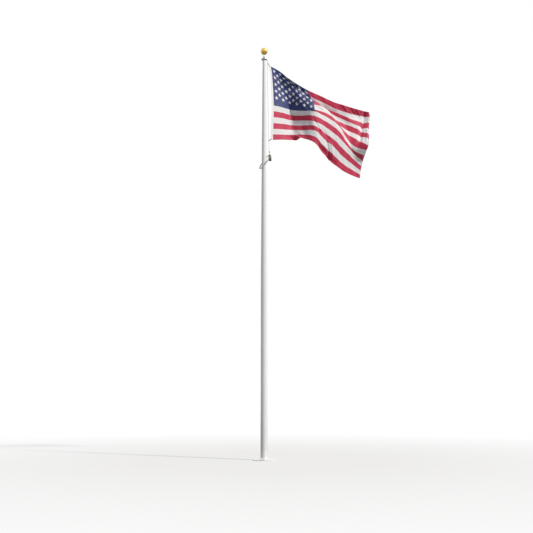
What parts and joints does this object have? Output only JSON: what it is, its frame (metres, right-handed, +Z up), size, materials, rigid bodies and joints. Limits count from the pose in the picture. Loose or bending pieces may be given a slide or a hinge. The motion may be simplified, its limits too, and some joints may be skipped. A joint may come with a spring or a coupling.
{
  "type": "flagpole",
  "caption": "Tapered ground-set flagpole with gold ball, revolving truck, flash collar, access door, internal halyard with counterweight, beaded sling and a flying striped flag.",
  "frame": {"origin": "centre of the foot plate's under face, on the ground", "axes": "+Z up along the pole, +X to the flag's side seen from the front, -Y towards the viewer"},
  "size_m": [3.3406, 1.8969, 11.0176],
  "materials": {
    "white_finish": "satin",
    "mill_aluminium": "satin",
    "cast_aluminium": "satin",
    "steel": "satin",
    "bronze": "satin",
    "brass": "polished",
    "gold_anodised": "polished",
    "nylon": "matte",
    "white_nylon": "matte",
    "rope": "matte",
    "coated_cable": "satin",
    "beads": "gloss",
    "weight_coat": "matte",
    "canvas": "matte",
    "flag_cloth": "satin"
  },
  "bodies": {
    "mast": {"pole_shaft": "white_finish", "foot_plate": "mill_aluminium", "flash_collar": "white_finish", "door_frame": "white_finish", "access_door": "white_finish", "door_lock": "steel", "truck_sleeve": "cast_aluminium", "bearing_ring": "nylon"},
    "truck": {"truck_hub": "cast_aluminium", "sheave_housing": "cast_aluminium", "sheave_inner": "nylon", "sheave_outer": "nylon", "sheave_pin_inner": "steel", "sheave_pin_outer": "steel", "truck_bonnet": "cast_aluminium", "ball_spindle": "steel", "spindle_nut": "steel", "ball": "gold_anodised", "halyard_turn": "rope", "halyard_fall": "rope"},
    "flag_set": {"halyard_link": "steel", "halyard_lead": "rope", "swivel": "bronze", "sling_ring": "steel", "sling_cable": "coated_cable", "sling_beads": "beads", "counterweight": "weight_coat", "weight_eye": "steel", "flag_heading": "canvas", "flag_field": "flag_cloth", "grommet_top": "brass", "grommet_bottom": "brass", "snap_top": "white_nylon", "snap_bottom": "bronze"}
  },
  "joints": [
    {"name": "truck_spin", "type": "hinge", "parent": "mast", "child": "truck", "pos_m": [0, 0, 10.668], "axis": [0, 0, 1], "continuous": true},
    {"name": "flag_hoist", "type": "slide", "parent": "truck", "child": "flag_set", "axis": [0, 0, 1], "range_m": [-6.3, 0], "deforming": ["halyard_fall"]}
  ]
}
